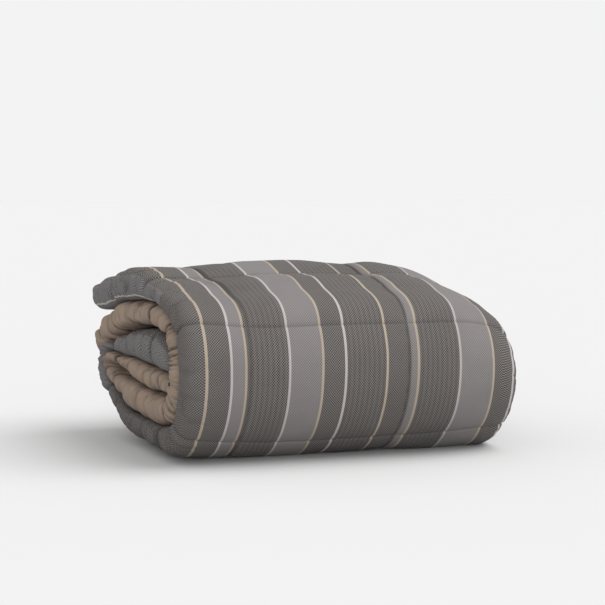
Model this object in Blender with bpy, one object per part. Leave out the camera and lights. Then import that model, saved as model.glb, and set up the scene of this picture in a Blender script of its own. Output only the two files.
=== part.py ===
"""A quilted duvet, folded in three across its width and then rolled in three along its length.

The duvet is one thick quilted sheet.  Its width runs back and forth in three layers, which
makes a zigzag section: the outer layer, a turn at the right end, the middle layer, a turn at
the left end, and the inner layer.  That section is carried along a roll: it starts at the flap
that hangs down the back, crosses the top, turns down the front, runs back along the bottom,
turns up at the back and is tucked in again through the middle.

World axes: X along the bundle, -Y is its front, Z is up, and the floor is at Z = 0.
"""
import math

import bpy
import numpy as np

# The bundle, in metres.
HALF_LENGTH = 0.303           # from the middle to the tip of a turn or an edge, along X
BUNDLE_DEPTH = 0.56           # from the front to the flap's edge
TOP_HEIGHT = 0.322
BOTTOM_Y = -0.099             # where the front turn meets the level bottom
FLOOR_PRESS = 0.008           # how far the crowns are pressed flat by the weight
LAYER_GAP = 0.0030            # between neighbouring layers
MIDDLE_SHARE = 0.50           # the middle layer's share of the inner pair's thickness

# The quilting.
BOX_WIDTH = 0.278             # of a stitched box, across the duvet's width
BOX_LENGTH = 0.228            # and along its length
FIRST_ROW = 0.150             # from the flap's edge to its first line of stitches
FIRST_COLUMN = 0.162          # from the side seam to its first line of stitches
LINE_FULLNESS = 0.80          # thickness along a stitch line, against a box's crown
SEAM_FULLNESS = 0.20          # thickness at the flap's seam, against a box's crown
SEAM_ROUND = 0.036            # how far the end seams draw the filling in
CROWN_POWER = 2.4             # a larger power gives a flatter crown

# The zigzag section across the width: how far each edge or turn reaches along X.
OUTER_EDGE_REACH = 0.034
OUTER_TURN_REACH = 0.043
INNER_TURN_REACH = 0.026
INNER_EDGE_REACH = 0.017
INNER_SLACK = 0.95            # length along X of each metre of the crumpled inner layers
ROUND_STEPS = 4               # segments round an edge or a turn
ROUND_POWER = 2.6             # 2 is a plain ellipse, and a larger power is squarer
EDGE_LENGTH = 0.086           # of the striped face round an edge, from its seam
OUTER_TURN_LENGTH = 0.075     # along the middle of the sheet, round each turn
INNER_TURN_LENGTH = 0.043
COLUMN_STEP = 0.069           # longest segment across the outer layer
INNER_STEP = 0.14             # and across the layers inside it
BOX_SPLITS = (0.0, 0.16, 0.50, 0.84)   # rings along a box, closer at its stitches
SEAM_STEPS = (0.0, 0.2, 0.6)  # rings at an end's seam, as shares of SEAM_ROUND

# The roll's inner face, one row for each bend or run, from the flap's lower edge on:
# the length along the inner face, the turn in degrees, and the thickness of the inner pair
# of layers and of the outer layer where the row ends.
ROLL_START = {"heading": 146.0, "pair": 0.047, "outer": 0.055}
ROLL = (
    # name, length, turn, pair, outer
    ("hang", 0.065, 1.0, 0.052, 0.068),
    ("back shoulder", 0.070, 13.0, 0.052, 0.066),
    ("top back", 0.140, 13.0, 0.039, 0.059),
    ("top front", 0.118, 9.0, 0.036, 0.040),
    ("front shoulder", 0.054, 18.0, 0.034, 0.039),
    ("front upper bend", 0.041, 39.5, 0.035, 0.063),
    ("front middle bend", 0.040, 38.5, 0.037, 0.057),
    ("front lower bend", 0.082, 76.0, 0.045, 0.054),
    ("bottom front", 0.043, 6.0, 0.050, 0.052),
    ("bottom", 0.150, 0.0, 0.058, 0.052),
    ("bottom back", 0.119, 12.0, 0.038, 0.044),
    ("back bend", 0.021, 174.0, 0.021, 0.018),
    ("tuck back", 0.070, -1.0, 0.028, 0.044),
    ("tuck middle", 0.070, -2.0, 0.036, 0.058),
    ("tuck", 0.118, -2.0, 0.038, 0.076),
    ("tuck end", 0.072, -1.0, 0.038, 0.060),
)
PAIR_REACH = 0.052            # how far the inner pair hangs below the outer layer's flap
REACH_FADE = 0.43             # the run of flap over which that shift dies out
FLAP_LIFT = 0.034             # how far the flap's edge stands off the layers under it
LIFT_FADE = 0.12              # the run of flap over which that dies out
TABLE_STEP = 0.001            # spacing of the worked-out roll line

# The lie of the whole bundle towards its ends: where along X each change starts, the shares
# of the height and the depth that are lost at the tip, and how far the tip is off the floor
# at the back.
ENDS = (
    # side, start, height, depth, lift
    ("right", 0.10, 0.21, 0.08, 0.000),
    ("left", 0.05, 0.03, 0.00, 0.000),
    ("left", 0.16, 0.00, 0.00, 0.065),
)
LEFT_BACK_SPLAY = 0.016       # how much further the left end reaches at the back

STRIPED_GREY = (0.190, 0.185, 0.180)
CLOTH_ROUGHNESS = 0.9


def eased(at, knots, values):
    """Read a table at each place, with a smooth step from one knot to the next."""
    knots = np.array(knots)
    values = np.array(values)
    place = np.clip(np.searchsorted(knots, at, side="right") - 1, 0, len(knots) - 2)
    share = np.clip((at - knots[place]) / (knots[place + 1] - knots[place]), 0.0, 1.0)
    share = share * share * (3 - 2 * share)
    return values[place] + (values[place + 1] - values[place]) * share


def roll_line():
    """Work out the roll's inner face as named columns, with a row every TABLE_STEP."""
    runs = [0.0]
    headings = [math.radians(ROLL_START["heading"])]
    knots = [0.0]
    pairs = [ROLL_START["pair"]]
    outers = [ROLL_START["outer"]]
    for name, length, turn, pair, outer in ROLL:
        steps = round(length / TABLE_STEP)
        start = headings[-1]
        for step in range(1, steps + 1):
            runs.append(knots[-1] + length * step / steps)
            headings.append(start + math.radians(turn) * step / steps)
        knots.append(knots[-1] + length)
        pairs.append(pair)
        outers.append(outer)
    run = np.array(runs)
    heading = np.array(headings)
    between = (heading[1:] + heading[:-1]) / 2
    y = np.concatenate(([0.0], np.cumsum(np.cos(between) * np.diff(run))))
    z = np.concatenate(([0.0], np.cumsum(np.sin(between) * np.diff(run))))
    pair = eased(run, knots, pairs)
    outer = eased(run, knots, outers)
    level = int(np.argmin(abs(heading - 2 * math.pi)))
    y += BOTTOM_Y - y[level]
    z += pair[level] + LAYER_GAP + outer[level] - FLOOR_PRESS - z[level]
    return {"run": run, "y": y, "z": z, "heading": heading, "pair": pair, "outer": outer}


def outer_length(line):
    """Measure along the outside of the roll, from the outer layer's edge at the flap."""
    lift = line["pair"] + LAYER_GAP + line["outer"]
    y = line["y"] + np.sin(line["heading"]) * lift
    z = line["z"] - np.cos(line["heading"]) * lift
    steps = np.hypot(np.diff(y), np.diff(z))
    length = np.concatenate(([0.0], np.cumsum(steps)))
    return length - np.interp(PAIR_REACH, line["run"], length)


def crown(along):
    """Thickness across one box, against its crown, where along runs from 0 to 1."""
    swell = 1 - abs(2 * along - 1) ** CROWN_POWER
    return LINE_FULLNESS + (1 - LINE_FULLNESS) * swell


def column_stations(start, end, longest):
    """Split a run of the width at its stitch lines, and then into short segments."""
    count = math.ceil((end - FIRST_COLUMN) / BOX_WIDTH) + 1
    lines = [FIRST_COLUMN + BOX_WIDTH * number for number in range(count)]
    stops = [start] + [w for w in lines if start < w < end] + [end]
    stations = [start]
    for low, high in zip(stops, stops[1:]):
        steps = max(1, math.ceil((high - low) / longest))
        stations += [low + (high - low) * step / steps for step in range(1, steps + 1)]
    return stations


def row_stations(total):
    """Split the duvet's length at its stitch lines, with closer rings at both end seams."""
    rounding = [SEAM_ROUND * share for share in SEAM_STEPS]
    boxes = range(-1, math.ceil(total / BOX_LENGTH))
    rings = [FIRST_ROW + BOX_LENGTH * (box + split) for box in boxes for split in BOX_SPLITS]
    body = [t for t in rings if SEAM_ROUND < t < total - SEAM_ROUND]
    return [*rounding, *body, *(total - t for t in reversed(rounding))]


# Heights in the section are (share of the pair, share of the outer layer, fixed part), so that
# one section serves every thickness along the roll.
INNER_LOW = np.array((0.0, 0.0, 0.0))
INNER_HIGH = np.array((1 - MIDDLE_SHARE, 0.0, -LAYER_GAP / 2))
MIDDLE_LOW = np.array((1 - MIDDLE_SHARE, 0.0, LAYER_GAP / 2))
MIDDLE_HIGH = np.array((1.0, 0.0, 0.0))
OUTER_LOW = np.array((1.0, 0.0, LAYER_GAP))
OUTER_HIGH = np.array((1.0, 1.0, LAYER_GAP))


def arc(centre_x, reach, low, high, angle):
    """A point on the full half round that joins two heights, at an angle up from its tip."""
    across = abs(math.cos(angle)) ** (2 / ROUND_POWER)
    up = math.copysign(abs(math.sin(angle)) ** (2 / ROUND_POWER), angle)
    return centre_x + reach * across, (low + high) / 2 + (high - low) / 2 * up


def edge_stations(w, centre_x, reach, low, high, outward):
    """Round off a free side: the seam lies under it, and the striped face wraps over it."""
    stations = []
    for step in range(ROUND_STEPS):
        share = step / ROUND_STEPS
        angle = math.radians(-75 + 165 * share)
        striped = arc(centre_x, outward * reach, low, high, angle)
        plain = (centre_x + outward * reach * 0.1 * (1 - share), low)
        stations.append((w + EDGE_LENGTH * share, striped, plain))
    return stations


def turn_stations(w, length, centre_x, reach, outside, inside):
    """Carry the sheet round a turn; each side is a (low, high) pair of heights."""
    inner_reach = math.copysign(LAYER_GAP / 2, reach)
    stations = []
    for step in range(1, ROUND_STEPS):
        share = step / ROUND_STEPS
        angle = math.pi / 2 - math.pi * share
        outer_point = arc(centre_x, reach, *outside, angle)
        inner_point = arc(centre_x, inner_reach, *inside, angle)
        stations.append((w + length * share, outer_point, inner_point))
    return stations


def run_stations(w, start_x, end_x, slack, longest, striped, plain):
    """Lay one layer straight from one end of the bundle to the other."""
    length = abs(end_x - start_x) / slack
    stations = []
    for at in column_stations(w, w + length, longest):
        x = start_x + (end_x - start_x) * (at - w) / length
        stations.append((at, (x, striped), (x, plain)))
    return stations


def section():
    """The zigzag: rows of (w, striped face, plain face, share of the inner pair's shift)."""
    left_edge = -HALF_LENGTH + OUTER_EDGE_REACH
    right_turn = HALF_LENGTH - OUTER_TURN_REACH
    left_turn = -HALF_LENGTH + INNER_TURN_REACH
    right_edge = HALF_LENGTH - INNER_EDGE_REACH
    edge = edge_stations(0.0, left_edge, OUTER_EDGE_REACH, OUTER_LOW, OUTER_HIGH, -1)
    outer = run_stations(EDGE_LENGTH, left_edge, right_turn, 1.0, COLUMN_STEP,
                         OUTER_HIGH, OUTER_LOW)
    w = outer[-1][0]
    right = turn_stations(w, OUTER_TURN_LENGTH, right_turn, OUTER_TURN_REACH,
                          (MIDDLE_LOW, OUTER_HIGH), (MIDDLE_HIGH, OUTER_LOW))
    w += OUTER_TURN_LENGTH
    middle = run_stations(w, right_turn, left_turn, INNER_SLACK, INNER_STEP,
                          MIDDLE_LOW, MIDDLE_HIGH)
    w = middle[-1][0]
    left = turn_stations(w, INNER_TURN_LENGTH, left_turn, -INNER_TURN_REACH,
                         (INNER_LOW, MIDDLE_HIGH), (INNER_HIGH, MIDDLE_LOW))
    left = [(at, striped, plain) for at, plain, striped in left]
    w += INNER_TURN_LENGTH
    inner = run_stations(w, left_turn, right_edge, INNER_SLACK, INNER_STEP,
                         INNER_HIGH, INNER_LOW)
    width = inner[-1][0] + EDGE_LENGTH
    last = edge_stations(0.0, right_edge, INNER_EDGE_REACH, INNER_LOW, INNER_HIGH, 1)
    last = [(width - at, striped, plain) for at, striped, plain in reversed(last)]
    groups = ((edge, 0), (outer, 0), (right, None), (middle, 1), (left, 1), (inner, 1), (last, 1))
    rows = []
    for stations, share in groups:
        for number, (at, striped, plain) in enumerate(stations):
            shift = (number + 1) / ROUND_STEPS if share is None else share
            rows.append((at, striped, plain, shift))
    return rows


def seam_rounding(t, total):
    """How full the sheet is at t because of the seams at its two ends."""
    near = np.clip(np.minimum(t, total - t) / SEAM_ROUND, 0.0, 1.0)
    return SEAM_FULLNESS + (1 - SEAM_FULLNESS) * np.sqrt(1 - (1 - near) ** 2)


def settled(x, y, z):
    """Slump and lift the ends of the bundle, and press its crowns flat on the floor."""
    height = z
    back = np.clip(0.5 + y / BUNDLE_DEPTH, 0.0, 1.0)
    for side, start, height_loss, depth_loss, lift in ENDS:
        sign = 1 if side == "right" else -1
        share = np.clip((sign * x - start) / (HALF_LENGTH - start), 0.0, 1.1) ** 2
        height = height * (1 - height_loss * share)
        height = height + lift * back * share * (1 - height / TOP_HEIGHT) ** 2
        y = y * (1 - depth_loss * share)
    left = np.clip(-x / HALF_LENGTH, 0.0, 1.0)
    x = x - LEFT_BACK_SPLAY * back * left
    return np.stack([x, y, np.maximum(height, 0.0)], axis=-1)


def duvet_faces():
    """Work out both faces of the sheet, as grids of points (rows along the roll, stations)."""
    line = roll_line()
    length = outer_length(line)
    total = length[-1]
    t = np.array(row_stations(total))[:, None]
    rows = section()
    w = np.array([row[0] for row in rows])[None, :]
    shift = np.array([row[3] for row in rows])[None, :]
    run = np.interp(t, length, line["run"])
    run = run - shift * PAIR_REACH * np.clip(1 - t / REACH_FADE, 0.0, 1.0) ** 2
    at = {name: np.interp(run, line["run"], values) for name, values in line.items()}
    full = crown((w - FIRST_COLUMN) / BOX_WIDTH % 1) * crown((t - FIRST_ROW) / BOX_LENGTH % 1)
    full = full * seam_rounding(t, total)
    lift = (1 - shift) * FLAP_LIFT * np.clip(1 - t / LIFT_FADE, 0.0, 1.0) ** 2
    faces = []
    for side in (1, 2):
        x = np.array([row[side][0] for row in rows])[None, :] + 0 * t
        shares = np.array([row[side][1] for row in rows])
        height = shares[:, 0] * at["pair"] + shares[:, 1] * at["outer"] + shares[:, 2]
        faces.append((x, height + lift))
    middle_x = (faces[0][0] + faces[1][0]) / 2
    middle_height = (faces[0][1] + faces[1][1]) / 2
    grids = []
    for x, height in faces:
        x = middle_x + (x - middle_x) * full
        height = middle_height + (height - middle_height) * full
        y = at["y"] + np.sin(at["heading"]) * height
        z = at["z"] - np.cos(at["heading"]) * height
        grids.append(settled(x, y, z))
    points = np.concatenate([grid.reshape(-1, 3) for grid in grids])
    middle = (points.min(axis=0) + points.max(axis=0)) / 2
    middle[2] = 0.0
    return [grid - middle for grid in grids]


def closed_sheet(name, striped, plain):
    """Join two facing grids of points into one closed mesh, and return it."""
    rows, stations = striped.shape[:2]
    points = np.concatenate([striped.reshape(-1, 3), plain.reshape(-1, 3)])

    def top(row, station):
        return row * stations + station

    def under(row, station):
        return rows * stations + row * stations + station

    faces = []
    for row in range(rows - 1):
        for station in range(stations - 1):
            quad = ((row, station), (row, station + 1), (row + 1, station + 1), (row + 1, station))
            faces.append([top(*corner) for corner in reversed(quad)])
            faces.append([under(*corner) for corner in quad])
    rim = [(0, station) for station in range(stations)]
    rim += [(row, stations - 1) for row in range(1, rows)]
    rim += [(rows - 1, station) for station in range(stations - 2, -1, -1)]
    rim += [(row, 0) for row in range(rows - 2, 0, -1)]
    for here, after in zip(rim, rim[1:] + rim[:1]):
        faces.append([top(*here), top(*after), under(*after), under(*here)])
    mesh = bpy.data.meshes.new(name)
    mesh.from_pydata(points.tolist(), [], faces)
    return mesh


def cloth_material(name, colour, roughness):
    """A plain Principled cloth colour."""
    material = bpy.data.materials.new(name)
    material.use_nodes = True
    shader = material.node_tree.nodes["Principled BSDF"]
    shader.inputs["Base Color"].default_value = (*colour, 1.0)
    shader.inputs["Roughness"].default_value = roughness
    shader.inputs["Metallic"].default_value = 0.0
    return material


def clear_scene():
    """Remove every object, so that the script gives the same result in any file."""
    for item in list(bpy.data.objects):
        bpy.data.objects.remove(item, do_unlink=True)


def main():
    clear_scene()
    collection = bpy.data.collections.new("duvet_folded")
    bpy.context.scene.collection.children.link(collection)
    striped, plain = duvet_faces()
    mesh = closed_sheet("duvet", striped, plain)
    mesh.materials.append(cloth_material("duvet_cotton", STRIPED_GREY, CLOTH_ROUGHNESS))
    mesh.shade_smooth()
    duvet = bpy.data.objects.new("duvet", mesh)
    collection.objects.link(duvet)


main()
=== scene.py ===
"""The folded duvet, dressed: a fine quilted cloth form with woven stripes and a plain reverse.

The form repeats the solid's own roll, section and quilting, on a much finer grid, and adds what
is too small for the solid: the sewn grooves, the folds and puckers at the left end and the flap,
and the softness of the filling.  On the taut front it draws the columns in less than the solid
does, and at the two ends it draws the rows up a little.  Every vertex carries its place on the
cloth, in metres from the side seam and from the end seam, and the weave is drawn from that.
"""
import math

import bpy
import numpy as np
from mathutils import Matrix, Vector


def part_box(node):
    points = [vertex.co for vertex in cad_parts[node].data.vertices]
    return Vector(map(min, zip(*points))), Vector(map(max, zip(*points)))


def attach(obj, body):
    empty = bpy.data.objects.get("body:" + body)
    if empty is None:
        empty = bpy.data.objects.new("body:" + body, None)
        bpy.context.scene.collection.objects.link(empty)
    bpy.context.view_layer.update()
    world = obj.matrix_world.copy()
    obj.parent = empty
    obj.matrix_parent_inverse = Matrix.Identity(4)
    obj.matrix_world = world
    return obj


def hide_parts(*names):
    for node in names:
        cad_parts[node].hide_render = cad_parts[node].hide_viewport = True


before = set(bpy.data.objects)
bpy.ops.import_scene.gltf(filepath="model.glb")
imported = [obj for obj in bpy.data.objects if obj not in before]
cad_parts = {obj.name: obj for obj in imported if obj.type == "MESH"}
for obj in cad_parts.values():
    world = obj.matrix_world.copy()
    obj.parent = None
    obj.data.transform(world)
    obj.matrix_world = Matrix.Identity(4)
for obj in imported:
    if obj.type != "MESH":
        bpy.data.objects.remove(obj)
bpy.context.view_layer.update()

low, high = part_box("duvet")

# --- the solid's own sizes, in metres ---------------------------------------------------------
HALF_LENGTH = 0.303
BUNDLE_DEPTH = 0.56
TOP_HEIGHT = 0.322
BOTTOM_Y = -0.099
FLOOR_PRESS = 0.008
LAYER_GAP = 0.0030
MIDDLE_SHARE = 0.50
BOX_WIDTH = 0.278
BOX_LENGTH = 0.228
FIRST_ROW = 0.150
FIRST_COLUMN = 0.162
LINE_FULLNESS = 0.80
CROWN_POWER = 2.4
OUTER_EDGE_REACH = 0.034
OUTER_TURN_REACH = 0.043
INNER_TURN_REACH = 0.026
INNER_EDGE_REACH = 0.017
INNER_SLACK = 0.95
ROUND_POWER = 2.6
EDGE_LENGTH = 0.086
OUTER_TURN_LENGTH = 0.075
INNER_TURN_LENGTH = 0.043
ROLL_START = {"heading": 146.0, "pair": 0.047, "outer": 0.055}
ROLL = (
    # name, length, turn, pair, outer
    ("hang", 0.065, 1.0, 0.052, 0.068),
    ("back shoulder", 0.070, 13.0, 0.052, 0.066),
    ("top back", 0.140, 13.0, 0.039, 0.059),
    ("top front", 0.118, 9.0, 0.036, 0.040),
    ("front shoulder", 0.054, 18.0, 0.034, 0.039),
    ("front upper bend", 0.041, 39.5, 0.035, 0.063),
    ("front middle bend", 0.040, 38.5, 0.037, 0.057),
    ("front lower bend", 0.082, 76.0, 0.045, 0.054),
    ("bottom front", 0.043, 6.0, 0.050, 0.052),
    ("bottom", 0.150, 0.0, 0.058, 0.052),
    ("bottom back", 0.119, 12.0, 0.038, 0.044),
    ("back bend", 0.021, 174.0, 0.021, 0.018),
    ("tuck back", 0.070, -1.0, 0.028, 0.044),
    ("tuck middle", 0.070, -2.0, 0.036, 0.058),
    ("tuck", 0.118, -2.0, 0.038, 0.076),
    ("tuck end", 0.072, -1.0, 0.038, 0.060),
)
PAIR_REACH = 0.052
REACH_FADE = 0.43
FLAP_LIFT = 0.034
LIFT_FADE = 0.12
TABLE_STEP = 0.0005
ENDS = (
    # side, start, height, depth, lift
    ("right", 0.10, 0.21, 0.08, 0.000),
    ("left", 0.05, 0.03, 0.00, 0.000),
    ("left", 0.16, 0.00, 0.00, 0.065),
)
LEFT_BACK_SPLAY = 0.016

# --- what differs from the solid, or is finer -------------------------------------------------
SEAM_FULLNESS = 0.10          # thickness at an end seam, against a box's crown
SEAM_ROUND = 0.036
LEAST_SHARE = 0.68            # no crease goes deeper than this share of the thickness there
PAINTED_SHADE_DEPTH = 0.006          # a crease this deep gets the full painted shade in the cloth's colour
# how deep the columns draw in at places along the length, against the solid's
TAUT_AT = (0.0, 0.44, 0.62, 0.84, 1.0)
COLUMN_DEPTH = (1.0, 1.0, 0.45, 0.45, 1.0)
GROOVE_WIDTH = 0.0030         # half width of a sewn groove
RIGHT_BEND = 0.024            # how far the rows are drawn up at the right tip, and the left
LEFT_BEND = 0.014
BEND_FADE = 0.30              # that dies out over this length at the two end seams
CUT_W = 0.76                  # where the outer layer's mesh hands over to the inner pair's
ROW_STEP = 0.0046             # spacing of the rows along the roll
NEAR_LINE = (-0.0075, -0.0045, -0.0022, 0.0, 0.0022, 0.0045, 0.0075)
EDGE_PART = 0.118             # the gathered part at the free side edge, which has finer columns
TURN_REACH = 0.045            # the same each way from the inner layers' turn
BIG_FOLD = 0.0060             # heights of the folds and puckers, in metres
SMALL_FOLD = 0.0040
SLANT_FOLD = 0.0034
FINE_FOLD = 0.0018
CRUMPLE = 0.0005
ROW_PINCH = 0.0060            # how far a sewn row draws a gathered edge in
PLAIN_GATHER = 1.3            # how much more the plain face is gathered than the striped one


def eased(at, knots, values):
    """Read a table at each place, with a smooth step from one knot to the next."""
    knots = np.array(knots)
    values = np.array(values)
    place = np.clip(np.searchsorted(knots, at, side="right") - 1, 0, len(knots) - 2)
    share = np.clip((at - knots[place]) / (knots[place + 1] - knots[place]), 0.0, 1.0)
    share = share * share * (3 - 2 * share)
    return values[place] + (values[place + 1] - values[place]) * share


def smooth(value, start, end):
    """0 before start, 1 after end, and a smooth step between; start may be past end."""
    share = np.clip((value - start) / (end - start), 0.0, 1.0)
    return share * share * (3 - 2 * share)


def roll_line():
    """Work out the roll's inner face as named columns, with a row every TABLE_STEP."""
    runs = [0.0]
    headings = [math.radians(ROLL_START["heading"])]
    knots = [0.0]
    pairs = [ROLL_START["pair"]]
    outers = [ROLL_START["outer"]]
    for name, length, turn, pair, outer in ROLL:
        steps = round(length / TABLE_STEP)
        start = headings[-1]
        for step in range(1, steps + 1):
            runs.append(knots[-1] + length * step / steps)
            headings.append(start + math.radians(turn) * step / steps)
        knots.append(knots[-1] + length)
        pairs.append(pair)
        outers.append(outer)
    run = np.array(runs)
    heading = np.array(headings)
    between = (heading[1:] + heading[:-1]) / 2
    y = np.concatenate(([0.0], np.cumsum(np.cos(between) * np.diff(run))))
    z = np.concatenate(([0.0], np.cumsum(np.sin(between) * np.diff(run))))
    pair = eased(run, knots, pairs)
    outer = eased(run, knots, outers)
    level = int(np.argmin(abs(heading - 2 * math.pi)))
    y += BOTTOM_Y - y[level]
    z += pair[level] + LAYER_GAP + outer[level] - FLOOR_PRESS - z[level]
    return {"run": run, "y": y, "z": z, "heading": heading, "pair": pair, "outer": outer}


def outer_length(line):
    """Measure along the outside of the roll, from the outer layer's edge at the flap."""
    lift = line["pair"] + LAYER_GAP + line["outer"]
    y = line["y"] + np.sin(line["heading"]) * lift
    z = line["z"] - np.cos(line["heading"]) * lift
    steps = np.hypot(np.diff(y), np.diff(z))
    length = np.concatenate(([0.0], np.cumsum(steps)))
    return length - np.interp(PAIR_REACH, line["run"], length)


LINE = roll_line()
LENGTH = outer_length(LINE)
TOTAL = LENGTH[-1]
ROWS = [FIRST_ROW + BOX_LENGTH * number for number in range(8)]
COLUMNS = [FIRST_COLUMN + BOX_WIDTH * number for number in range(7)]

# --- the section: where a place w across the width lies in the zigzag ---------------------------
LEFT_EDGE = -HALF_LENGTH + OUTER_EDGE_REACH
RIGHT_TURN = HALF_LENGTH - OUTER_TURN_REACH
LEFT_TURN = -HALF_LENGTH + INNER_TURN_REACH
RIGHT_EDGE = HALF_LENGTH - INNER_EDGE_REACH
TURN_AT = EDGE_LENGTH + (RIGHT_TURN - LEFT_EDGE)
MIDDLE_AT = TURN_AT + OUTER_TURN_LENGTH
BACK_TURN_AT = MIDDLE_AT + (RIGHT_TURN - LEFT_TURN) / INNER_SLACK
INNER_AT = BACK_TURN_AT + INNER_TURN_LENGTH
LAST_AT = INNER_AT + (RIGHT_EDGE - LEFT_TURN) / INNER_SLACK
WIDTH = LAST_AT + EDGE_LENGTH

INNER_LOW = np.array((0.0, 0.0, 0.0))
INNER_HIGH = np.array((1 - MIDDLE_SHARE, 0.0, -LAYER_GAP / 2))
MIDDLE_LOW = np.array((1 - MIDDLE_SHARE, 0.0, LAYER_GAP / 2))
MIDDLE_HIGH = np.array((1.0, 0.0, 0.0))
OUTER_LOW = np.array((1.0, 0.0, LAYER_GAP))
OUTER_HIGH = np.array((1.0, 1.0, LAYER_GAP))


def arc(centre_x, reach, low_side, high_side, angle):
    """A point on the full half round that joins two heights, at an angle up from its tip."""
    across = abs(math.cos(angle)) ** (2 / ROUND_POWER)
    up = math.copysign(abs(math.sin(angle)) ** (2 / ROUND_POWER), angle)
    height = (low_side + high_side) / 2 + (high_side - low_side) / 2 * up
    return centre_x + reach * across, height


def station(w):
    """(striped point, plain point, share of the pair's shift) of one place across the width."""
    if w < EDGE_LENGTH:
        share = w / EDGE_LENGTH
        angle = math.radians(-75 + 165 * share)
        striped = arc(LEFT_EDGE, -OUTER_EDGE_REACH, OUTER_LOW, OUTER_HIGH, angle)
        plain = (LEFT_EDGE - OUTER_EDGE_REACH * 0.1 * (1 - share), OUTER_LOW)
        return striped, plain, 0.0
    if w < TURN_AT:
        x = LEFT_EDGE + w - EDGE_LENGTH
        return (x, OUTER_HIGH), (x, OUTER_LOW), 0.0
    if w < MIDDLE_AT:
        share = (w - TURN_AT) / OUTER_TURN_LENGTH
        angle = math.pi / 2 - math.pi * share
        striped = arc(RIGHT_TURN, OUTER_TURN_REACH, MIDDLE_LOW, OUTER_HIGH, angle)
        plain = arc(RIGHT_TURN, LAYER_GAP / 2, MIDDLE_HIGH, OUTER_LOW, angle)
        return striped, plain, share
    if w < BACK_TURN_AT:
        x = RIGHT_TURN - (w - MIDDLE_AT) * INNER_SLACK
        return (x, MIDDLE_LOW), (x, MIDDLE_HIGH), 1.0
    if w < INNER_AT:
        share = (w - BACK_TURN_AT) / INNER_TURN_LENGTH
        angle = math.pi / 2 - math.pi * share
        plain = arc(LEFT_TURN, -INNER_TURN_REACH, INNER_LOW, MIDDLE_HIGH, angle)
        striped = arc(LEFT_TURN, -LAYER_GAP / 2, INNER_HIGH, MIDDLE_LOW, angle)
        return striped, plain, 1.0
    if w < LAST_AT:
        x = LEFT_TURN + (w - INNER_AT) * INNER_SLACK
        return (x, INNER_HIGH), (x, INNER_LOW), 1.0
    share = (WIDTH - w) / EDGE_LENGTH
    angle = math.radians(-75 + 165 * share)
    striped = arc(RIGHT_EDGE, INNER_EDGE_REACH, INNER_LOW, INNER_HIGH, angle)
    plain = (RIGHT_EDGE + INNER_EDGE_REACH * 0.1 * (1 - share), INNER_LOW)
    return striped, plain, 1.0


# --- noise, fixed by its seed -------------------------------------------------------------------
def lattice(seed, size=256):
    return np.random.RandomState(seed).uniform(-1.0, 1.0, (size, size))


NOISE = {seed: lattice(seed) for seed in range(1, 10)}


def noise(u, v, seed):
    """Smooth noise between -1 and 1 at the places (u, v), with a lattice spacing of 1."""
    table = NOISE[seed]
    size = len(table)
    u0 = np.floor(u).astype(int)
    v0 = np.floor(v).astype(int)
    fu = u - u0
    fv = v - v0
    fu = fu * fu * fu * (fu * (fu * 6 - 15) + 10)
    fv = fv * fv * fv * (fv * (fv * 6 - 15) + 10)
    a = table[u0 % size, v0 % size]
    b = table[(u0 + 1) % size, v0 % size]
    c = table[u0 % size, (v0 + 1) % size]
    d = table[(u0 + 1) % size, (v0 + 1) % size]
    return (a * (1 - fu) + b * fu) * (1 - fv) + (c * (1 - fu) + d * fu) * fv


def folds(u, v, seed):
    """Soft rounded folds with narrow valleys between them, from 0 in a valley to 1."""
    return np.sqrt(np.clip(abs(noise(u, v, seed)) * 1.9, 0.0, 1.0))


def nearest(value, lines):
    """Distance to the nearest of the sewn lines."""
    gap = np.full(np.shape(value), 9.0)
    for at in lines:
        gap = np.minimum(gap, abs(value - at))
    return gap


def crown(along):
    """Thickness across one box, against its crown, where along runs from 0 to 1."""
    swell = 1 - abs(2 * along - 1) ** CROWN_POWER
    return LINE_FULLNESS + (1 - LINE_FULLNESS) * swell


def seam_rounding(t):
    """How full the sheet is at t because of the seams at its two ends."""
    near = np.clip(np.minimum(t, TOTAL - t) / SEAM_ROUND, 0.0, 1.0)
    return SEAM_FULLNESS + (1 - SEAM_FULLNESS) * np.sqrt(1 - (1 - near) ** 2)


# How slack the cloth is along the roll: the front is taut, and the flap and the ends aren't.
SLACK = (
    # t, slack of the cloth and its sewn lines, slack of the folds at the left edge
    (0.00, 1.0, 1.25),
    (0.36, 1.0, 1.25),
    (0.46, 0.75, 0.90),
    (0.60, 0.30, 0.45),
    (0.80, 0.35, 0.50),
    (0.95, 0.70, 1.20),
    (1.45, 0.80, 0.80),
    (1.90, 0.80, 1.00),
)


def gathers(w, t, row_gap):
    """Folds and puckers that run across the sheet where its edge or its turn is gathered."""
    warp = t + 0.007 * noise(w / 0.03, t / 0.05, 5)
    big = folds(warp / 0.040, w / 0.12, 6) - 0.72
    small = folds(warp / 0.0135, w / 0.055, 7) - 0.65
    slant = folds((t + 0.7 * w) / 0.021, (w - 0.7 * t) / 0.06, 2) - 0.7
    crumple = noise(warp / 0.0060, w / 0.030, 8)
    fine = folds(warp / 0.0085, w / 0.045, 9) - 0.65
    pinch = np.exp(-(row_gap / 0.0070) ** 2)
    broad = BIG_FOLD * big - ROW_PINCH * pinch
    return broad + SMALL_FOLD * small + SLANT_FOLD * slant + FINE_FOLD * fine + CRUMPLE * crumple


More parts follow.
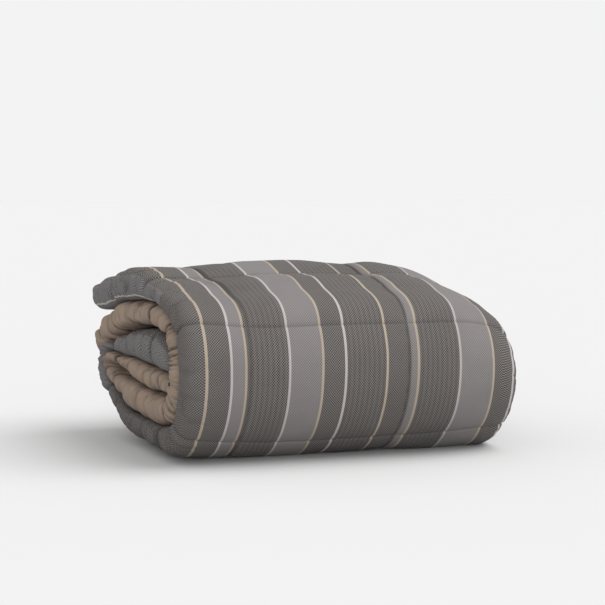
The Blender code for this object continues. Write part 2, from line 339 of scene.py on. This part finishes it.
def detail(w, t, striped):
    """How far the cloth stands out from the plain form, in metres, on the striped or plain face."""
    knots = [row[0] for row in SLACK]
    slack = eased(t, knots, [row[1] for row in SLACK])
    edge_slack = eased(t, knots, [row[2] for row in SLACK])
    if striped:
        left = smooth(w, 0.120, 0.040) * edge_slack
        right = smooth(w, TURN_AT - 0.01, TURN_AT + 0.03) * smooth(w, CUT_W, MIDDLE_AT)
        right_edge = smooth(w, LAST_AT - 0.03, LAST_AT + 0.03)
        ends = left + 0.45 * right + 0.5 * right_edge
    else:
        left = smooth(abs(w - (BACK_TURN_AT + INNER_AT) / 2), 0.085, 0.035)
        ends = PLAIN_GATHER * left + 0.4 * smooth(w, LAST_AT - 0.03, LAST_AT + 0.03)
    row_gap = nearest(t, ROWS)
    column_gap = nearest(w, COLUMNS[:2] + COLUMNS[5:])
    # sewn grooves, with short puckers across them
    row_groove = np.exp(-(row_gap / GROOVE_WIDTH) ** 2) * (0.0004 + 0.0030 * slack)
    column_groove = np.exp(-(column_gap / GROOVE_WIDTH) ** 2) * (0.0010 + 0.0034 * slack)
    out = -np.maximum(row_groove, column_groove)
    row_pucker = np.exp(-row_gap / 0.012) * noise(w / 0.0065, t / 0.05, 1)
    column_pucker = np.exp(-column_gap / 0.012) * noise(t / 0.0065, w / 0.05, 2)
    out = out + (row_pucker + column_pucker) * (0.00015 + 0.00055 * slack)
    # the filling's own softness
    out = out + 0.0022 * slack * noise(w / 0.085, t / 0.075, 3)
    out = out + 0.0009 * slack * noise(w / 0.035, t / 0.030, 4)
    out = out + ends * gathers(w, t, row_gap)
    # the end seams gather the cloth a little
    hem = np.exp(-np.minimum(t, TOTAL - t) / 0.022)
    return out + hem * 0.0011 * (folds(w / 0.017, t / 0.05, 7) - 0.6)


def row_bend(w):
    """How far the rows are drawn up the front where the bundle's ends drop."""
    x = np.clip(LEFT_EDGE + w - EDGE_LENGTH, -HALF_LENGTH, HALF_LENGTH)
    bend = RIGHT_BEND * smooth(x, 0.10, 0.42) * 2 + LEFT_BEND * smooth(-x, 0.12, 0.40) * 2
    return bend * smooth(w, MIDDLE_AT, TURN_AT)


def settled(x, y, z):
    """Slump and lift the ends of the bundle, and press its crowns flat on the floor."""
    height = z
    back = np.clip(0.5 + y / BUNDLE_DEPTH, 0.0, 1.0)
    for side, start, height_loss, depth_loss, lift in ENDS:
        sign = 1 if side == "right" else -1
        share = np.clip((sign * x - start) / (HALF_LENGTH - start), 0.0, 1.1) ** 2
        height = height * (1 - height_loss * share)
        height = height + lift * back * share * (1 - height / TOP_HEIGHT) ** 2
        y = y * (1 - depth_loss * share)
    left = np.clip(-x / HALF_LENGTH, 0.0, 1.0)
    x = x - LEFT_BACK_SPLAY * back * left
    return np.stack([x, y, np.maximum(height, 0.0)], axis=-1)


def cloth_points(w, t, on_striped, dressed=True):
    """Points of one face of the sheet, as a grid (rows t, stations w)."""
    stations = [station(at) for at in w]
    w = np.array(w)[None, :]
    t = np.array(t)[:, None]
    shift = np.array([item[2] for item in stations])[None, :]
    away = smooth(t, 0.0, BEND_FADE) * smooth(TOTAL - t, 0.0, BEND_FADE)
    run = np.interp(t - row_bend(w) * away, LENGTH, LINE["run"])
    run = run - shift * PAIR_REACH * np.clip(1 - t / REACH_FADE, 0.0, 1.0) ** 2
    at = {name: np.interp(run, LINE["run"], values) for name, values in LINE.items()}
    full = 1 - (1 - crown((w - FIRST_COLUMN) / BOX_WIDTH % 1)) * eased(t, TAUT_AT, COLUMN_DEPTH)
    full = full * crown((t - FIRST_ROW) / BOX_LENGTH % 1)
    full = full * seam_rounding(t)
    lift = (1 - shift) * FLAP_LIFT * np.clip(1 - t / LIFT_FADE, 0.0, 1.0) ** 2
    sides = []
    for side in (0, 1):
        x = np.array([item[side][0] for item in stations])[None, :] + 0 * t
        shares = np.array([item[side][1] for item in stations])
        height = shares[:, 0] * at["pair"] + shares[:, 1] * at["outer"] + shares[:, 2]
        sides.append((x, height + lift))
    middle_x = (sides[0][0] + sides[1][0]) / 2
    middle_height = (sides[0][1] + sides[1][1]) / 2
    x, height = sides[0] if on_striped else sides[1]
    out_x = x - middle_x
    out_height = height - middle_height
    size = np.maximum(np.hypot(out_x, out_height), 1e-6)
    extra = 0.0 * t
    if dressed:
        extra = detail(w + 0 * t, t + 0 * w, on_striped) * seam_rounding(t)
    share = np.maximum(full + extra / size, LEAST_SHARE * full)
    x = middle_x + out_x * share
    height = middle_height + out_height * share
    y = at["y"] + np.sin(at["heading"]) * height
    z = at["z"] - np.cos(at["heading"]) * height
    # how deep each point lies in a crease, kept for the painted shade in the cloth's colour
    painted_crease_shade = np.clip(-extra / PAINTED_SHADE_DEPTH, 0.0, 1.0) + 0 * x
    return settled(x, y, z), painted_crease_shade


# --- grids --------------------------------------------------------------------------------------
def spaced(start, end, step):
    """Places from start up to, but not including, end."""
    count = max(1, round((end - start) / step))
    return [start + (end - start) * number / count for number in range(count)]


def with_lines(places, lines, start, end):
    """Put close places round each sewn line, in place of those that were near it."""
    reach = NEAR_LINE[-1] * 1.35
    kept = [at for at in places if all(abs(at - line) > reach for line in lines)]
    close = [line + gap for line in lines for gap in NEAR_LINE if start < line + gap < end]
    return sorted(kept + close)


def row_places():
    """The rows along the roll, closer at the sewn lines and at the end seams."""
    ends = [SEAM_ROUND * share for share in (0.0, 0.02, 0.06, 0.13, 0.24, 0.38, 0.55, 0.75)]
    body = spaced(SEAM_ROUND, TOTAL - SEAM_ROUND, ROW_STEP)
    body = with_lines(body, ROWS, SEAM_ROUND, TOTAL - SEAM_ROUND)
    return ends + body + [TOTAL - at for at in reversed(ends)]


def doubled(places):
    """The same places with one more between each two."""
    out = []
    for here, after in zip(places, places[1:]):
        out += [here, (here + after) / 2]
    return out + [places[-1]]


def zip_rows(a, a_at, b, b_at):
    """Triangles between two lines of vertices, by how far along each of them lies."""
    triangles = []
    i = 0
    j = 0
    while i < len(a) - 1 or j < len(b) - 1:
        if j == len(b) - 1 or (i < len(a) - 1 and a_at[i + 1] <= b_at[j + 1] + 1e-9):
            triangles.append((a[i], a[i + 1], b[j]))
            i += 1
        else:
            triangles.append((a[i], b[j + 1], b[j]))
            j += 1
    return triangles


def strip(a, a_at, b, b_at):
    """Faces between two neighbouring lines: quads where they match, else triangles."""
    if len(a) == len(b):
        return [(a[i], a[i + 1], b[i + 1], b[i]) for i in range(len(a) - 1)]
    return zip_rows(a, a_at, b, b_at)


def layer_mesh(name, striped_groups, plain_groups, rows):
    """A closed mesh of one part of the sheet.

    Each group is (places across the width, whether its rows are doubled).  The striped face runs
    up in w and the plain face comes back, so the columns go once round the section.
    """
    fine = doubled(rows)
    points = []
    places = []
    painted_crease_shades = []
    columns = []
    count = 0
    for on_striped, groups in ((True, striped_groups), (False, plain_groups)):
        side = []
        for across, is_fine in groups:
            along = fine if is_fine else rows
            grid, painted_crease_shade = cloth_points(across, along, on_striped)
            painted_crease_shades.append(painted_crease_shade.T.ravel())
            for number, w in enumerate(across):
                index = list(range(count, count + len(along)))
                count += len(along)
                points.append(grid[:, number])
                places += [(w, at) for at in along]
                side.append((w, index, along))
        columns.append(side)
    ring = columns[0] + columns[1][::-1]
    turn = len(columns[0])
    faces = []
    slots = []
    for number, (w, index, along) in enumerate(ring):
        after = ring[(number + 1) % len(ring)]
        new = strip(index, along, after[1], after[2])
        faces += new
        slots += [0 if number < turn - 1 or number == len(ring) - 1 else 1] * len(new)
    for end, flip in ((0, False), (-1, True)):
        top = [index[end] for w, index, along in columns[0]]
        under = [index[end] for w, index, along in columns[1]]
        top_at = [item[0] for item in columns[0]]
        under_at = [item[0] for item in columns[1]]
        new = zip_rows(top, top_at, under, under_at)
        faces += [tuple(reversed(face)) if flip else face for face in new]
        slots += [0] * len(new)
    mesh = bpy.data.meshes.new(name)
    mesh.from_pydata(np.concatenate(points).tolist(), [], faces)
    mesh.polygons.foreach_set("material_index", slots)
    layer = mesh.uv_layers.new(name="Cloth")
    corner = np.empty(len(mesh.loops), dtype=np.int32)
    mesh.loops.foreach_get("vertex_index", corner)
    layer.data.foreach_set("uv", np.array(places)[corner].astype(np.float32).ravel())
    # the crease depths go on the mesh for the painted crease shade in both materials
    shade = mesh.attributes.new("painted_crease_shade", "FLOAT", "POINT")
    shade.data.foreach_set("value", np.concatenate(painted_crease_shades).astype(np.float32))
    mesh.shade_smooth()
    mesh.update()
    return mesh


# --- materials ----------------------------------------------------------------------------------
DARK = (0.098, 0.090, 0.086)
LIGHT = (0.160, 0.149, 0.147)
EDGE = (0.128, 0.120, 0.121)
TAN = (0.290, 0.245, 0.195)
WHITE = (0.340, 0.315, 0.312)
CREAM = (0.330, 0.310, 0.275)
TAUPE = (0.232, 0.178, 0.140)
CHECKS = {DARK: 1.0, LIGHT: 0.45, EDGE: 0.7}      # how strongly each ground is checked
REPEAT = 0.66                 # metres of the width before the stripes come again
NARROW = 0.0042               # width of a narrow stripe
STITCH_PITCH = 0.0042
STITCH_WIDTH = 0.0022
THREAD = (0.06, 0.055, 0.05, 1.0)
CHECK_ACROSS = 0.0042         # the woven checks, across the width and along the length
CHECK_ALONG = 0.0048
CHECK_SHARPNESS = 2.4
CHECK_TONE = 0.72
RIB_PITCH = 0.0088
RIB_TONE = 0.11
PLAIN_PITCH = 0.0022
# The bands between narrow stripes, from the side seam on: where each ends, its ground, the
# narrow stripe woven at its end, and how ribbed it is.
BANDS = (
    # end, ground, stripe, rib
    (0.0200, EDGE, CREAM, 0.0),
    (0.0560, EDGE, None, 0.0),
    (0.0880, DARK, TAN, 0.0),
    (0.1295, DARK, WHITE, 0.0),
    (0.1545, LIGHT, TAN, 0.0),
    (0.2285, DARK, WHITE, 1.0),
    (0.2860, LIGHT, TAN, 0.0),
    (0.3260, DARK, WHITE, 0.0),
    (0.4000, DARK, TAN, 1.0),
    (0.4425, DARK, None, 0.0),
    (0.4565, LIGHT, TAN, 0.0),
    (0.5340, DARK, WHITE, 1.0),
    (0.5990, LIGHT, TAN, 0.0),
    (0.6290, DARK, WHITE, 0.0),
    (0.6600, DARK, None, 0.0),
)


class Nodes:
    """Short calls for building one material's nodes."""

    def __init__(self, name):
        self.material = bpy.data.materials.new(name)
        self.material.use_nodes = True
        self.tree = self.material.node_tree
        self.shader = self.tree.nodes["Principled BSDF"]

    def put(self, target, value):
        """Set a socket to a number or colour, or link it to another node's output."""
        if isinstance(value, bpy.types.NodeSocket):
            self.tree.links.new(value, target)
        elif value is not None:
            target.default_value = value

    def math(self, operation, a, b=None, c=None, clamp=False):
        node = self.tree.nodes.new("ShaderNodeMath")
        node.operation = operation
        node.use_clamp = clamp
        for socket, value in zip(node.inputs, (a, b, c)):
            self.put(socket, value)
        return node.outputs[0]

    def noise(self, vector, scale, detail=2.0, rough=0.5):
        node = self.tree.nodes.new("ShaderNodeTexNoise")
        self.put(node.inputs["Vector"], vector)
        node.inputs["Scale"].default_value = scale
        node.inputs["Detail"].default_value = detail
        node.inputs["Roughness"].default_value = rough
        return node.outputs["Fac"]

    def place(self):
        """The place on the cloth, in metres: across the width, and along it."""
        uv = self.tree.nodes.new("ShaderNodeUVMap")
        uv.uv_map = "Cloth"
        parts = self.tree.nodes.new("ShaderNodeSeparateXYZ")
        self.put(parts.inputs[0], uv.outputs["UV"])
        return uv.outputs["UV"], parts.outputs["X"], parts.outputs["Y"]

    def painted_crease_shade(self, depth):
        """A painted shade: a tone that falls from 1 to 1 - depth in the creases, where less light
        reaches.
        """
        node = self.tree.nodes.new("ShaderNodeAttribute")
        node.attribute_name = "painted_crease_shade"
        return self.math("MULTIPLY_ADD", node.outputs["Fac"], -depth, 1.0)

    def step(self, value, start, end, low, high):
        """A smooth step from low at start to high at end."""
        node = self.tree.nodes.new("ShaderNodeMapRange")
        node.interpolation_type = "SMOOTHSTEP"
        self.put(node.inputs["Value"], value)
        ends = {"From Min": start, "From Max": end, "To Min": low, "To Max": high}
        for name, number in ends.items():
            node.inputs[name].default_value = number
        return node.outputs["Result"]

    def mix(self, amount, a, b, blend="MIX"):
        node = self.tree.nodes.new("ShaderNodeMix")
        node.data_type = "RGBA"
        node.blend_type = blend
        self.put(node.inputs["Factor"], amount)
        self.put(node.inputs["A"], a)
        self.put(node.inputs["B"], b)
        return node.outputs["Result"]

    def ramp(self, value, stops):
        """A stepped ramp with up to 32 stops of (place, colour)."""
        node = self.tree.nodes.new("ShaderNodeValToRGB")
        ramp = node.color_ramp
        ramp.interpolation = "CONSTANT"
        while len(ramp.elements) < len(stops):
            ramp.elements.new(1.0)
        for element, (place, colour) in zip(ramp.elements, stops):
            element.position = place
            element.color = colour
        self.put(node.inputs["Fac"], value)
        return node.outputs["Color"], node.outputs["Alpha"]

    def bump(self, height, distance, strength=1.0, normal=None):
        node = self.tree.nodes.new("ShaderNodeBump")
        node.inputs["Strength"].default_value = strength
        node.inputs["Distance"].default_value = distance
        self.put(node.inputs["Height"], height)
        if normal is not None:
            self.put(node.inputs["Normal"], normal)
        return node.outputs["Normal"]

    def wave(self, value, period, phase=0.0):
        """A sine between -1 and 1 with that period, in metres."""
        return self.math("SINE", self.math("MULTIPLY_ADD", value, 2 * math.pi / period, phase))

    def near_any(self, value, places, half_width):
        """1 within half_width of any of the places, else 0."""
        total = 0.0
        for place in places:
            total = self.math("ADD", self.math("COMPARE", value, place, half_width), total)
        return total

    def stitches(self, value, along, places):
        """1 on the stitches of the sewn lines at those places, else 0."""
        on_dash = self.math("GREATER_THAN", self.wave(along, STITCH_PITCH), -0.35)
        return self.math("MULTIPLY", self.near_any(value, places, STITCH_WIDTH / 2), on_dash)


def striped_cloth():
    """Woven cotton: bands and narrow stripes along the length, checked and ribbed grounds, and
    painted shade in the creases.
    """
    n = Nodes("duvet_striped_cotton")
    uv, w, t = n.place()
    wobble = n.math("MULTIPLY_ADD", n.noise(uv, 9.0), 0.0016, -0.0008)
    across = n.math("ADD", w, wobble)
    # the side seam takes in the edge's own bands along the front, and its stripe further in
    front = n.step(t, 0.40, 0.50, 0.0, 0.058)
    inside = n.step(t, 1.25, 1.35, 0.0, 0.034)
    across = n.math("MAXIMUM", across, n.math("SUBTRACT", front, inside))
    share = n.math("FRACT", n.math("DIVIDE", across, REPEAT))
    stops = []
    ribs = []
    start = 0.0
    for end, ground, stripe, rib in BANDS:
        stops.append((start / REPEAT, (*ground, CHECKS[ground])))
        ribs.append((start / REPEAT, (rib, rib, rib, 1.0)))
        start = end
    colour, check = n.ramp(share, stops)
    rib = n.ramp(share, ribs)[0]
    for stripe in (TAN, WHITE, CREAM):
        places = [end / REPEAT for end, ground, woven, ribbed in BANDS if woven is stripe]
        on_stripe = n.near_any(share, places, NARROW / 2 / REPEAT)
        colour = n.mix(on_stripe, colour, (*stripe, 1.0))
        check = n.math("MULTIPLY", check, n.math("MULTIPLY_ADD", on_stripe, -0.85, 1.0))
    weave = n.math("MULTIPLY", n.wave(w, CHECK_ACROSS), n.wave(t, CHECK_ALONG))
    weave = n.math("MULTIPLY", weave, CHECK_SHARPNESS)
    weave = n.math("MAXIMUM", n.math("MINIMUM", weave, 1.0), -1.0)
    uneven = n.math("MULTIPLY_ADD", n.noise(uv, 55.0, 3.0), 1.1, 0.35)
    weave = n.math("MULTIPLY", n.math("MULTIPLY", weave, check), uneven)
    ribbing = n.math("MULTIPLY", n.wave(w, RIB_PITCH), rib)
    tone = n.math("MULTIPLY_ADD", weave, CHECK_TONE, 1.0)
    tone = n.math("MULTIPLY_ADD", ribbing, RIB_TONE, tone)
    cloudy = n.math("MULTIPLY_ADD", n.noise(uv, 14.0, 4.0, 0.6), 0.16, 0.92)
    # painted shade: the colour is darkened in the creases
    tone = n.math("MULTIPLY", n.math("MULTIPLY", tone, cloudy), n.painted_crease_shade(0.45))
    grey = n.tree.nodes.new("ShaderNodeCombineColor")
    for socket in grey.inputs[:3]:
        n.put(socket, tone)
    base = n.mix(1.0, colour, grey.outputs[0], "MULTIPLY")
    rows = n.stitches(t, w, ROWS)
    columns = n.stitches(w, t, COLUMNS)
    sewn = n.math("MAXIMUM", n.math("MULTIPLY", rows, 0.3), n.math("MULTIPLY", columns, 0.6))
    base = n.mix(sewn, base, THREAD)
    n.put(n.shader.inputs["Base Color"], base)
    height = n.math("MULTIPLY_ADD", ribbing, 0.5, weave)
    normal = n.bump(height, 0.0003, 0.5)
    normal = n.bump(n.noise(uv, 70.0, 3.0), 0.0008, 0.35, normal)
    n.put(n.shader.inputs["Normal"], normal)
    n.put(n.shader.inputs["Roughness"], n.math("MULTIPLY_ADD", weave, 0.06, 0.86))
    n.shader.inputs["Specular IOR Level"].default_value = 0.08
    n.shader.inputs["Sheen Weight"].default_value = 0.02
    n.shader.inputs["Sheen Roughness"].default_value = 0.5
    return n.material


def plain_cloth():
    """Plain taupe cotton with a fine weave and small creases, and painted shade in its deeper
    creases.
    """
    n = Nodes("duvet_plain_cotton")
    uv, w, t = n.place()
    weave = n.math("MULTIPLY", n.wave(w, PLAIN_PITCH), n.wave(t, PLAIN_PITCH))
    cloudy = n.math("MULTIPLY_ADD", n.noise(uv, 26.0, 4.0, 0.6), 0.30, 0.85)
    # painted shade: the taupe is darkened in its creases, more than the stripes are
    tone = n.math("MULTIPLY", n.math("MULTIPLY_ADD", weave, 0.06, cloudy), n.painted_crease_shade(0.75))
    grey = n.tree.nodes.new("ShaderNodeCombineColor")
    for socket in grey.inputs[:3]:
        n.put(socket, tone)
    base = n.mix(1.0, (*TAUPE, 1.0), grey.outputs[0], "MULTIPLY")
    n.put(n.shader.inputs["Base Color"], base)
    normal = n.bump(n.noise(uv, 90.0, 4.0, 0.6), 0.0030, 0.7)
    n.put(n.shader.inputs["Normal"], normal)
    n.put(n.shader.inputs["Roughness"], n.math("MULTIPLY_ADD", cloudy, 0.1, 0.8))
    n.shader.inputs["Specular IOR Level"].default_value = 0.08
    n.shader.inputs["Sheen Weight"].default_value = 0.02
    n.shader.inputs["Sheen Roughness"].default_value = 0.5
    return n.material


def plain_floor():
    """A matt pale floor."""
    n = Nodes("studio_floor")
    n.shader.inputs["Base Color"].default_value = (FLOOR_GREY, FLOOR_GREY, FLOOR_GREY, 1.0)
    n.shader.inputs["Roughness"].default_value = 1.0
    n.shader.inputs["Specular IOR Level"].default_value = 0.0
    return n.material


# --- build --------------------------------------------------------------------------------------
def add(name, mesh):
    item = bpy.data.objects.new(name, mesh)
    bpy.context.scene.collection.objects.link(item)
    return item


def outer_layer(rows):
    """The outer layer, from its free side edge to just past the turn at the right end."""
    edge = spaced(0.0, EDGE_PART, 0.0031)
    body = with_lines(spaced(EDGE_PART, TURN_AT, 0.0052), COLUMNS, EDGE_PART, TURN_AT)
    turn = spaced(TURN_AT, MIDDLE_AT, 0.0042) + spaced(MIDDLE_AT, CUT_W, 0.016) + [CUT_W]
    plain = spaced(0.0, EDGE_LENGTH, 0.012) + spaced(EDGE_LENGTH, TURN_AT, 0.03)
    plain += spaced(TURN_AT, MIDDLE_AT, 0.012) + [MIDDLE_AT, CUT_W]
    striped_groups = ((edge, True), (body + turn, False))
    return layer_mesh("duvet_outer_layer", striped_groups, ((plain, False),), rows)


def inner_layers(rows):
    """The two layers inside, with their turn at the left end and their edge at the right."""
    turn_from = BACK_TURN_AT - TURN_REACH
    turn_to = INNER_AT + TURN_REACH
    striped = spaced(CUT_W, BACK_TURN_AT, 0.035) + spaced(BACK_TURN_AT, INNER_AT, 0.014)
    striped += spaced(INNER_AT, LAST_AT - 0.03, 0.035) + spaced(LAST_AT - 0.03, WIDTH, 0.006)
    plain_before = spaced(CUT_W, turn_from, 0.03)
    plain_turn = spaced(turn_from, turn_to, 0.0034)
    plain_after = spaced(turn_to, LAST_AT, 0.03) + spaced(LAST_AT, WIDTH, 0.014)
    plain = ((plain_before, False), (plain_turn, True), (plain_after + [WIDTH], False))
    return layer_mesh("duvet_inner_layers", ((striped + [WIDTH], False),), plain, rows)


def centre(meshes):
    """Move the meshes so that the plain form's footprint sits where the solid's does."""
    w = spaced(0.0, WIDTH, 0.01) + [WIDTH]
    t = spaced(0.0, TOTAL, 0.01) + [TOTAL]
    form = [cloth_points(w, t, side, dressed=False)[0].reshape(-1, 3) for side in (True, False)]
    form = np.concatenate(form)
    middle = (form.min(axis=0) + form.max(axis=0)) / 2
    target = (np.array(low) + np.array(high)) / 2
    move = target - middle
    for mesh in meshes:
        place = np.empty(len(mesh.vertices) * 3, dtype=np.float32)
        mesh.vertices.foreach_get("co", place)
        place = place.reshape(-1, 3)
        place[:, :2] += move[:2]
        place[:, 2] += low[2]
        mesh.vertices.foreach_set("co", place.ravel())
        mesh.update()


ROW_PLACES = row_places()
meshes = [outer_layer(ROW_PLACES), inner_layers(ROW_PLACES)]
centre(meshes)
striped_material = striped_cloth()
plain_material = plain_cloth()
for mesh in meshes:
    mesh.materials.append(striped_material)
    mesh.materials.append(plain_material)
    piece = add(mesh.name, mesh)
    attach(piece, "root")
    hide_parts("duvet")

# --- floor, light and camera ----------------------------------------------------------------------
BACKDROP = 0.896              # the pale surround, in linear light
FLOOR_GREY = 0.57
SUN_HEIGHT = 54.0             # degrees above the floor
SUN_TURN = -20.0              # degrees from +X towards -Y
SUN_SOFTNESS = 56.0           # degrees across
FILL = 1.6                    # a weaker light from the front
FILL_HEIGHT = 8.0
FILL_TURN = -110.0
FILL_SOFTNESS = 30.0
FLOOR_HALF = 30.0
CAMERA_TURN = -20.0           # degrees from straight ahead, and above the floor
CAMERA_HEIGHT = 5.5
CAMERA_DISTANCE = 3.225
CAMERA_AIM = Vector((0.0065, -0.0055, 0.0008))      # from the middle of the box
CAMERA_LENS = 107.1
CAMERA_SHIFT = 0.0805

floor_mesh = bpy.data.meshes.new("studio_floor")
corners = [(x * FLOOR_HALF, y * FLOOR_HALF) for x, y in ((-1, -1), (1, -1), (1, 1), (-1, 1))]
floor_mesh.from_pydata([(x, y, low[2]) for x, y in corners], [], [(0, 1, 2, 3)])
floor_mesh.materials.append(plain_floor())
floor = add("studio_floor", floor_mesh)

world = bpy.data.worlds.new("studio")
bpy.context.scene.world = world
world.use_nodes = True
background = world.node_tree.nodes["Background"]
background.inputs["Color"].default_value = (BACKDROP, BACKDROP, BACKDROP, 1.0)
background.inputs["Strength"].default_value = 1.0


def add_sun(name, energy, height, turn, softness):
    """A soft light from far away, height above the floor and turn from +X, in degrees."""
    data = bpy.data.lights.new(name, "SUN")
    data.energy = energy
    data.angle = math.radians(softness)
    item = bpy.data.objects.new(name, data)
    bpy.context.scene.collection.objects.link(item)
    flat = math.cos(math.radians(height))
    side = flat * math.cos(math.radians(turn))
    depth = flat * math.sin(math.radians(turn))
    light_from = Vector((side, depth, math.sin(math.radians(height))))
    item.rotation_euler = light_from.to_track_quat("Z", "Y").to_euler()


# The two lights and the surround together bring the floor to the surround's own tone.
on_floor = math.pi * BACKDROP * (1 - FLOOR_GREY) / FLOOR_GREY
on_floor -= FILL * math.sin(math.radians(FILL_HEIGHT))
add_sun("key", on_floor / math.sin(math.radians(SUN_HEIGHT)), SUN_HEIGHT, SUN_TURN, SUN_SOFTNESS)
add_sun("fill", FILL, FILL_HEIGHT, FILL_TURN, FILL_SOFTNESS)

middle = (Vector(low) + Vector(high)) / 2
camera_data = bpy.data.cameras.new("camera")
camera_data.lens = CAMERA_LENS
camera_data.sensor_width = 36.0
camera_data.shift_y = CAMERA_SHIFT
camera_data.clip_end = 100.0
camera = bpy.data.objects.new("camera", camera_data)
bpy.context.scene.collection.objects.link(camera)
turn = math.radians(CAMERA_TURN)
rise = math.radians(CAMERA_HEIGHT)
back = Vector((math.sin(turn) * math.cos(rise), -math.cos(turn) * math.cos(rise), math.sin(rise)))
camera.location = middle + CAMERA_AIM + back * CAMERA_DISTANCE
camera.rotation_euler = back.to_track_quat("Z", "Y").to_euler()
bpy.context.scene.camera = camera
bpy.context.scene.view_settings.view_transform = "Standard"

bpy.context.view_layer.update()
